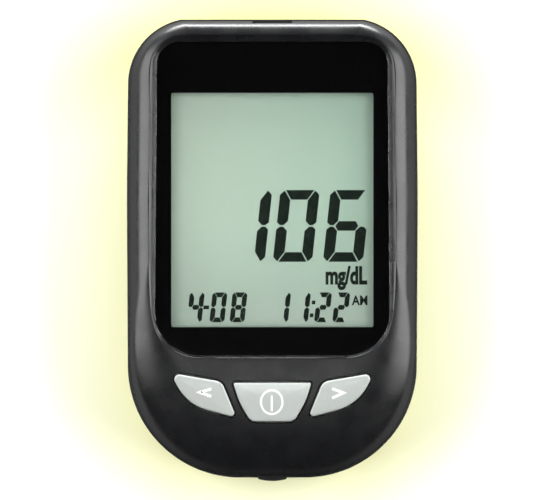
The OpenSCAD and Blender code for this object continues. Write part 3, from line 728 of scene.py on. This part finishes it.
def build_key(name, points, drop, stem, body, node, proud, dome, sunk=0.0):
    """Key with a flange under the cover, a round edge and a slightly crowned top that follows the cover.
    sunk is how far the edge next to the display lies deeper than the rest."""
    flange = rounded(grow(points, 0.75))
    edge = rounded(points)
    y_top = edge[:, 1].max()

    def crown(ring, up):
        return skin_z(ring) + up - sunk * np.clip((np.asarray(ring)[:, 1] - y_top + 2.4) / 2.4, 0, 1) ** 2

    rings = [at(flange, [key_top(p[1], 4.3 + drop) for p in flange]), at(flange, [key_top(p[1], 3.5 + drop) for p in flange]),
             at(edge, [key_top(p[1], 3.5 + drop) + 0.001 for p in edge])]
    for inset, down in ((0.0, 0.42), (0.02, 0.30), (0.07, 0.18), (0.15, 0.085), (0.26, 0.025), (0.40, 0.0)):
        r = rounded(grow(points, -inset))
        rings.append(at(r, crown(r, proud - down)))
    inner = rounded(grow(points, -0.7))
    mid = inner.mean(0)
    for k in (1.0, 0.85, 0.68, 0.48, 0.26):
        r = mid + (inner - mid) * k
        rings.append(at(r, crown(r, proud + dome * (1 - k * k))))
    centre = np.array([[mid[0], mid[1], crown([mid], proud + dome)[0]]])
    key = loft(rings, centre=centre)
    add(key, rod(stem[0], stem[1], 18.2, key_top(stem[1], 3.9 + drop), 2.0, 32))
    return place(key, name, silver, body, node, angle=40)


build_key("left_key_cap", LEFT_KEY, 0.12, (-13.4, -30.4), "left_key_body", "left_key", 0.42, 0.10)
build_key("right_key_cap", RIGHT_KEY, 0.12, (13.4, -30.4), "right_key_body", "right_key", 0.42, 0.10)
build_key("power_key_cap", POWER_KEY, 0.0, (0, -31.6), "power_key_body", "power_key", 0.42, 0.10, 0.40)


def stroke(path, width, closed=False, steps=8):
    """Outline strip of a path as left and right edge points, finely divided."""
    pts = [np.asarray(p, float) for p in path]
    if closed:
        pts.append(pts[0])
    fine = [pts[0]]
    for a, b in zip(pts, pts[1:]):
        fine += [a + (b - a) * (i + 1) / steps for i in range(steps)]
    if closed:
        fine = fine[:-1]
    k = len(fine)
    left, right = [], []
    for i, p in enumerate(fine):
        a = fine[i - 1] if (closed or i) else p
        b = fine[(i + 1) % k] if (closed or i < k - 1) else p
        d1 = unit(p - a) if np.linalg.norm(p - a) > 1e-9 else unit(b - p)
        d2 = unit(b - p) if np.linalg.norm(b - p) > 1e-9 else d1
        n1, n2 = np.array([-d1[1], d1[0]]), np.array([-d2[1], d2[0]])
        n = unit(n1 + n2)
        n = n / max(0.35, float(n @ n1))
        left.append(p + n * width / 2)
        right.append(p - n * width / 2)
    return np.array(left), np.array(right)


def inlay(strips, height, thick):
    """Thin printed strips that lie on the surface given by height(points)."""
    verts, faces = [], []
    for left, right, closed in strips:
        k, base = len(left), len(verts)
        zl, zr = height(left), height(right)
        for i in range(k):
            verts += [(*left[i], zl[i] + thick), (*right[i], zr[i] + thick), (*right[i], zr[i] - 0.05), (*left[i], zl[i] - 0.05)]
        for i in range(k if closed else k - 1):
            a, b = base + 4 * i, base + 4 * ((i + 1) % k)
            for j in range(4):
                faces.append((a + j, b + j, b + (j + 1) % 4, a + (j + 1) % 4))
        if not closed:
            a, b = base, base + 4 * (k - 1)
            faces += [(a, a + 1, a + 2, a + 3), (b + 3, b + 2, b + 1, b)]
    return solid(verts, faces)


def key_face(name):
    ob = bpy.data.objects[name]
    to_mm = Matrix.Translation((0, -SHIFT, 0)) @ Matrix.Scale(1000, 4)
    tree = BVHTree.FromPolygons([to_mm @ v.co for v in ob.data.vertices], [tuple(p.vertices) for p in ob.data.polygons])

    def height(points):
        return np.array([tree.ray_cast(Vector((p[0], p[1], 40)), Vector((0, 0, -1)))[0].z for p in points])

    return height


def icon(name, key, body, paths, width):
    strips = []
    for path, closed, steps in paths:
        left, right = stroke(path, width, closed, steps)
        strips.append((left, right, closed))
    place(inlay(strips, key_face(key), 0.02), name, icon_white, body)


icon("left_arrow", "left_key_cap", "left_key_body", [([(-12.75, -29.3), (-15.15, -30.02), (-12.75, -30.85)], False, 8)], 0.55)
icon("right_arrow", "right_key_cap", "right_key_body", [([(12.5, -29.25), (14.85, -30.12), (12.5, -31.2)], False, 8)], 0.55)
ring_path = [(-0.12 + 2.25 * math.cos(a), -32.05 + 2.5 * math.sin(a)) for a in np.linspace(0, 2 * math.pi, 48, endpoint=False)]
icon("power_sign", "power_key_cap", "power_key_body", [(ring_path, True, 1), ([(-0.12, -30.7), (-0.12, -33.95)], False, 8)], 0.40)


# ---------------------------------------------------------------- display
def px(x, y):
    """Millimetres on the display for a place on the drawing of its layout."""
    return np.array([(x - 272.3) / 4.79, (248.55 - y) / 4.79])


SEGMENTS = {
    "0": "abcdef", "1": "bc", "2": "abged", "4": "fgbc", "6": "acdefg", "8": "abcdefg",
}
SLANT = math.tan(math.radians(6.2))


def digit(char, x, y, w, h, t, v, g):
    """Polygons of one seven-segment digit whose lower left is at x, y. t and v are the bar widths, g the gap."""
    c, m = 0.5 * t, h / 2
    shapes = {
        "a": [(c + g, h), (w - c - g, h), (w - v - g, h - t), (v + g, h - t)],
        "d": [(v + g, t), (w - v - g, t), (w - c - g, 0), (c + g, 0)],
        "f": [(0, m + g + 0.3 * t), (0, h - c), (c - g * 0.6, h - g * 0.6), (v, h - t - g * 0.8), (v, m + g + 0.45 * t), (0.62 * v, m + g), (0.3 * v, m + g)],
        "b": [(w - 0.3 * v, m + g), (w - 0.62 * v, m + g), (w - v, m + g + 0.45 * t), (w - v, h - t - g * 0.8), (w - c + g * 0.6, h - g * 0.6), (w, h - c), (w, m + g + 0.3 * t)],
        "e": [(0.3 * v, m - g), (0.62 * v, m - g), (v, m - g - 0.45 * t), (v, t + g * 0.8), (c - g * 0.6, g * 0.6), (0, c), (0, m - g - 0.3 * t)],
        "c": [(w, m - g - 0.3 * t), (w, c), (w - c + g * 0.6, g * 0.6), (w - v, t + g * 0.8), (w - v, m - g - 0.45 * t), (w - 0.62 * v, m - g), (w - 0.3 * v, m - g)],
        "g": [(0.72 * v + g, m), (v + g * 0.9, m + t / 2), (w - v - g * 0.9, m + t / 2), (w - 0.72 * v - g, m), (w - v - g * 0.9, m - t / 2), (v + g * 0.9, m - t / 2)],
    }
    return [[(x + p[0] + SLANT * p[1], y + p[1]) for p in shapes[k]] for k in SEGMENTS[char]]


def plates(polygons, z0, z1, name):
    """Flat closed plates from polygons, each wound anticlockwise."""
    verts, faces = [], []
    for poly in polygons:
        poly = np.asarray(poly, float)
        area = 0.5 * sum(poly[i][0] * poly[(i + 1) % len(poly)][1] - poly[(i + 1) % len(poly)][0] * poly[i][1] for i in range(len(poly)))
        if area < 0:
            poly = poly[::-1]
        k, base = len(poly), len(verts)
        verts += [(*p, z0) for p in poly] + [(*p, z1) for p in poly]
        faces.append(tuple(base + i for i in range(k))[::-1])
        faces.append(tuple(base + k + i for i in range(k)))
        faces += [(base + i, base + (i + 1) % k, base + k + (i + 1) % k, base + k + i) for i in range(k)]
    return solid(verts, faces, name)


GLASS_TOP = 21.5
PX = 1 / 4.79
big = []
for char, left, w in (("1", 225.2, 39.4), ("0", 272.7, 39.4), ("6", 322.9, 40.2)):
    x, y = px(left, 261.8)
    big += digit(char, x, y, w * PX, 71.8 * PX, 9.6 * PX, 10.9 * PX, 0.75 * PX)
place(plates(big, GLASS_TOP, GLASS_TOP + 0.02, "big"), "reading_digits", segment_ink)
small = []
for char, left in (("4", 186.6), ("0", 209.3), ("8", 229.4), ("1", 273.0), ("1", 292.9), ("2", 314.0), ("2", 332.3)):
    x, y = px(left, 322.3)
    small += digit(char, x, y, 14.9 * PX, 29.8 * PX, 4.8 * PX, 4.9 * PX, 0.3 * PX)
for cx, cy in ((313.6, 302.5), (311.6, 315.4)):
    small.append([px(cx + a, cy + b) for a, b in ((-1.9, 1.9), (1.6, 1.9), (2.0, -1.9), (-1.5, -1.9))])
small.append([px(x, y) for x, y in ((203.2, 309.3), (208.8, 309.3), (209.1, 305.6), (203.5, 305.6))])
place(plates(small, GLASS_TOP, GLASS_TOP + 0.02, "small"), "date_and_time_digits", segment_ink)


def label(name, text, x0, x1, base_y, top_y, reference, bold):
    """Small printed unit, set so that reference spans x0 to x1 and its tall letters reach from base_y to top_y."""
    cu = bpy.data.curves.new(name, "FONT")
    cu.body, cu.size, cu.offset = text, 1.0, bold
    cu.extrude = 0.0
    ob = bpy.data.objects.new(name, cu)
    scene.collection.objects.link(ob)
    dg = bpy.context.evaluated_depsgraph_get()
    me = bpy.data.meshes.new_from_object(ob.evaluated_get(dg))
    bpy.data.objects.remove(ob)
    co = np.array([v.co for v in me.vertices])
    lo, hi = px(x0, base_y), px(x1, top_y)
    sx = (hi[0] - lo[0]) / (co[:, 0].max() - co[:, 0].min())
    sy = (hi[1] - lo[1]) / reference
    bm = bmesh.new()
    bm.from_mesh(me)
    for v in bm.verts:
        x, y = (v.co.x - co[:, 0].min()) * sx, v.co.y * sy
        v.co = Vector((lo[0] + x, lo[1] + y, GLASS_TOP + 0.02))
    bmesh.ops.remove_doubles(bm, verts=bm.verts, dist=1e-4)
    top = list(bm.faces)
    res = bmesh.ops.extrude_face_region(bm, geom=top)
    for g in res["geom"]:
        if isinstance(g, bmesh.types.BMVert):
            g.co.z = GLASS_TOP
    bm.to_mesh(me)
    bm.free()
    out = bpy.data.objects.new(name, me)
    scene.collection.objects.link(out)
    return place(out, name, segment_ink)


label("unit_sign", "mg/dL", 325.6, 367.4, 283.6, 266.0, 0.73, 0.042)
label("half_day_sign", "AM", 351.8, 367.6, 305.0, 295.2, 0.73, 0.026)

# ---------------------------------------------------------------- port plug
lip = [(LIP_W / 2, -HALF_L + 0.5), (LIP_W / 2 + 0.05, -HALF_L - 0.05)]
lip += [(3.05 - 0.35 * (1 - math.cos(a)), -HALF_L - 0.05 - 0.42 * math.sin(a)) for a in np.linspace(0.2, math.pi / 2, 6)]
lip += [(x, -HALF_L - LIP_H + 0.33 * (x / 2.7) ** 2) for x in np.linspace(2.4, -2.4, 13)]
lip += [(-3.05 + 0.35 * (1 - math.cos(a)), -HALF_L - 0.05 - 0.42 * math.sin(a)) for a in np.linspace(math.pi / 2, 0.2, 6)]
lip += [(-LIP_W / 2 - 0.05, -HALF_L - 0.05), (-LIP_W / 2, -HALF_L + 0.5)]
lip = lip[::-1]
plug = loft([at(lip, 11.0), at(lip, 12.9)])


def upright(x, z0, z1, r, y0, y1, soft=0.12):
    """Rounded plate that stands across the Y axis, with a softened outer edge."""
    def ring(d, y):
        pts = rounded([(x - d, z0 + d, r), (x - d, z1 - d, r), (-x + d, z1 - d, r), (-x + d, z0 + d, r)], 8)
        return np.column_stack([pts[:, 0], np.full(len(pts), y), pts[:, 1]])

    rings = [ring(soft, y0), ring(soft * 0.3, y0 + soft * 0.3), ring(0, y0 + soft), ring(0, y1)]
    ob = loft([r[::-1] for r in rings])
    return ob


add(plug, upright(4.8, 10.6, 15.25, 0.6, -HALF_L, -HALF_L + 1.1))
cut(plug, bar(-2, 2, -HALF_L - LIP_H - 1, -HALF_L - LIP_H + 0.3, 13.1, 14))
add(plug, bar(-3.3, 3.3, -HALF_L + 1, -45.3, 12.15, 13.95))
place(plug, "port_cover", rubber, "port_plug_body", "port_plug")

# ---------------------------------------------------------------- materials of the other nodes
LOOKS = {
    "lens_mask": mask_ink, "lcd_gasket": foam, "lcd_front_glass": lcd_panel, "lcd_rear_glass": lcd_panel,
    "lcd_holder": white_plastic, "lcd_backlight": diffuser, "zebra_strip": zebra,
    "left_switch_stem": black_part, "power_switch_stem": black_part, "right_switch_stem": black_part,
    "key_switches": steel, "main_board": laminate, "processor_chip": black_part, "voice_chip": black_part,
    "quartz_crystal": steel, "board_components": ceramic, "strip_guide": black_part,
    "strip_connector": white_plastic, "strip_contacts": brass, "data_port": steel, "data_port_tongue": black_part,
    "speaker_frame": steel, "speaker_cone": film, "speaker_magnet": magnet, "speaker_gasket": foam,
    "speaker_mesh": cloth, "speaker_leads": jacket, "battery_left": cell_skin, "battery_right": cell_skin,
    "battery_springs": steel, "bridge_contact": steel, "cell_contacts": steel, "case_screws": screw_steel,
    "board_screws": screw_steel,
}
for node_name, look in LOOKS.items():
    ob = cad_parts[node_name]
    if ob.material_slots:
        for s in ob.material_slots:
            s.material = look
    else:
        ob.data.materials.append(look)

# ---------------------------------------------------------------- floor, light and camera
bm = bmesh.new()
bmesh.ops.create_grid(bm, x_segments=8, y_segments=8, size=3.0)
me = bpy.data.meshes.new("floor")
bm.to_mesh(me)
bm.free()
floor = bpy.data.objects.new("floor", me)
scene.collection.objects.link(floor)
m = bpy.data.materials.new("pale_floor")
t, out = nodes_of(m)
p = t.nodes.new("ShaderNodeBsdfPrincipled")
t.links.new(p.outputs["BSDF"], out.inputs["Surface"])
p.inputs["Roughness"].default_value = 1.0
p.inputs["Specular IOR Level"].default_value = 0.0
co = t.nodes.new("ShaderNodeTexCoord")
xyz = t.nodes.new("ShaderNodeSeparateXYZ")
t.links.new(co.outputs["Object"], xyz.inputs["Vector"])


def math_node(op, a, b=None, c=None):
    n = t.nodes.new("ShaderNodeMath")
    n.operation = op
    for i, v in enumerate((a, b, c)):
        if v is None:
            continue
        if isinstance(v, (int, float)):
            n.inputs[i].default_value = v
        else:
            t.links.new(v, n.inputs[i])
    return n.outputs[0]


# painted glow: the floor is white far off and turns cream close round the meter, a halo painted into its colour
dx = math_node("MAXIMUM", math_node("SUBTRACT", math_node("ABSOLUTE", xyz.outputs["X"]), 0.012), 0.0)
dy = math_node("MAXIMUM", math_node("SUBTRACT", math_node("ABSOLUTE", xyz.outputs["Y"]), 0.028), 0.0)
far = math_node("SQRT", math_node("ADD", math_node("MULTIPLY", dx, dx), math_node("MULTIPLY", dy, dy)))
ramp = t.nodes.new("ShaderNodeValToRGB")
t.links.new(math_node("MULTIPLY", far, 15.0), ramp.inputs["Fac"])
e = ramp.color_ramp.elements
e[0].position, e[0].color = 0.26, (0.93, 0.93, 0.56, 1)
e[1].position, e[1].color = 0.92, (0.93, 0.93, 0.93, 1)
k = e.new(0.45)
k.color = (0.93, 0.93, 0.73, 1)
# painted glow: a deeper cream tint by the top end, where the low softbox lights the floor most
painted_glow_near_top = t.nodes.new("ShaderNodeMapRange")
painted_glow_near_top.inputs["From Min"].default_value, painted_glow_near_top.inputs["From Max"].default_value = 0.022, 0.048
t.links.new(xyz.outputs["Y"], painted_glow_near_top.inputs["Value"])
painted_glow_fade = t.nodes.new("ShaderNodeMapRange")
painted_glow_fade.inputs["From Min"].default_value, painted_glow_fade.inputs["From Max"].default_value = 0.052, 0.024
t.links.new(far, painted_glow_fade.inputs["Value"])
deeper = t.nodes.new("ShaderNodeMix")
deeper.data_type, deeper.blend_type = "RGBA", "MULTIPLY"
t.links.new(math_node("MULTIPLY", painted_glow_near_top.outputs["Result"], painted_glow_fade.outputs["Result"]), deeper.inputs["Factor"])
t.links.new(ramp.outputs["Color"], deeper.inputs["A"])
deeper.inputs["B"].default_value = (1.0, 1.0, 0.66, 1)
t.links.new(deeper.outputs["Result"], p.inputs["Base Color"])
me.materials.append(m)
floor.visible_glossy = False  # the sides of the case mirror the dimmer lower half of the world instead

world = bpy.data.worlds.new("studio")
scene.world = world
world.use_nodes = True
t = world.node_tree
t.nodes.clear()
out = t.nodes.new("ShaderNodeOutputWorld")
bg = t.nodes.new("ShaderNodeBackground")
t.links.new(bg.outputs["Background"], out.inputs["Surface"])
co = t.nodes.new("ShaderNodeTexCoord")
xyz = t.nodes.new("ShaderNodeSeparateXYZ")
t.links.new(co.outputs["Generated"], xyz.inputs["Vector"])
# dark overhead; below the horizon brighter to the sides and to the top end than to the port end, and dark straight down
BELOW_PORT, BELOW_SIDES, BELOW_TOP, OVERHEAD = 0.15, 1.2, 3.5, 0.015
flat2 = math_node("ADD", math_node("MULTIPLY", xyz.outputs["X"], xyz.outputs["X"]), math_node("MULTIPLY", xyz.outputs["Y"], xyz.outputs["Y"]))
north = math_node("DIVIDE", xyz.outputs["Y"], math_node("SQRT", math_node("MAXIMUM", flat2, 0.0001)))
to_top = math_node("POWER", math_node("MAXIMUM", north, 0.0), 2.0)
to_port = math_node("POWER", math_node("MAXIMUM", math_node("MULTIPLY", north, -1.0), 0.0), 2.0)
nearer = math_node("MAXIMUM", math_node("ADD", xyz.outputs["Z"], 1.0), 0.0)
around = math_node("ADD", BELOW_SIDES, math_node("ADD", math_node("MULTIPLY", to_top, BELOW_TOP - BELOW_SIDES), math_node("MULTIPLY", to_port, BELOW_PORT - BELOW_SIDES)))
low = math_node("MULTIPLY", around, nearer)
side_mix = t.nodes.new("ShaderNodeMapRange")
side_mix.inputs["From Min"].default_value, side_mix.inputs["From Max"].default_value = -0.04, 0.04
t.links.new(xyz.outputs["Z"], side_mix.inputs["Value"])
level = math_node("ADD", math_node("MULTIPLY", side_mix.outputs["Result"], OVERHEAD), math_node("MULTIPLY", math_node("SUBTRACT", 1.0, side_mix.outputs["Result"]), low))
t.links.new(level, bg.inputs["Color"])
bg.inputs["Strength"].default_value = 1.0


def softbox(name, where, size, power, color=(1, 1, 1), target=(0, 0, 0.02)):
    li = bpy.data.lights.new(name, "AREA")
    li.shape = "RECTANGLE"
    li.size, li.size_y = size
    li.energy = power
    li.color = color
    ob = bpy.data.objects.new(name, li)
    scene.collection.objects.link(ob)
    ob.location = where
    ob.rotation_euler = (Vector(target) - Vector(where)).to_track_quat("-Z", "Y").to_euler()
    return ob


def around(azimuth, elevation):
    a, e = math.radians(azimuth), math.radians(elevation)
    return math.cos(e) * math.cos(a), math.cos(e) * math.sin(a), math.sin(e)


# one broad softbox on each side, a long low one behind the top end, and a small high one that the chin mirrors
softbox("softbox_left", around(172, 36), (1.0, 0.85), 15.4)
softbox("softbox_right", around(3, 33), (1.0, 0.85), 17.0)
softbox("softbox_top_end", around(90, 9), (1.0, 0.2), 27.0)
softbox("softbox_chin", around(270, 73), (0.5, 0.16), 0.62)

cam = bpy.data.cameras.new("camera")
cam.type = "PERSP"
cam.sensor_width = 36.0
cam.sensor_fit = "HORIZONTAL"
cam.lens = 4770 * (2.0 - 0.0158) / 546 * 36
cam.clip_start, cam.clip_end = 0.05, 20
camera = bpy.data.objects.new("camera", cam)
camera.location = (0.000147, 0.000096, 2.0)
camera.rotation_euler = (0, 0, 0)
scene.collection.objects.link(camera)
scene.camera = camera

bpy.context.view_layer.update()
